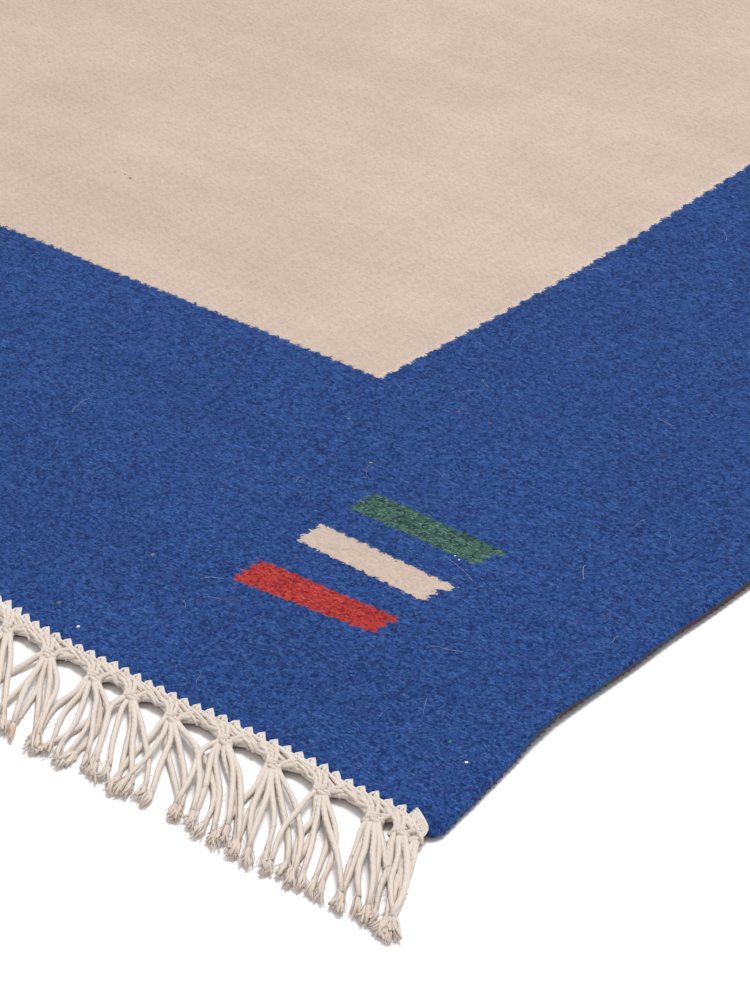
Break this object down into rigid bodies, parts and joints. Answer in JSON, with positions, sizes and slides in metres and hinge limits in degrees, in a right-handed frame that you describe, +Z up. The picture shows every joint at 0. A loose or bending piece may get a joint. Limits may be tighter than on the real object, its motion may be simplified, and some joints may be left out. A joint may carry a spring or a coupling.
{
  "type": "flat-woven kilim rug",
  "caption": "Flat-woven wool rug with a plain field, a dark border, three short bars near one corner, and a plaited heading with knotted fringe at each end; it lies on a floor.",
  "frame": {"origin": "the middle of the rug's outline, fringe included, on the floor plane that its underside rests on", "axes": "+X along the weft to the right selvedge, +Y along the warp from the near fringe to the far one, +Z up out of the face"},
  "size_m": [1.2558, 1.886, 0.007],
  "materials": {
    "wool_cloth": "matt hand-spun wool in a weft-faced weave: blue border, cream field, and a red, a cream and a green bar",
    "cotton_warp": "matt undyed plied cotton yarn, frayed at the tips"
  },
  "bodies": {
    "root": {"kilim_body": "wool_cloth", "fringe_near": "cotton_warp", "fringe_far": "cotton_warp"}
  },
  "joints": []
}
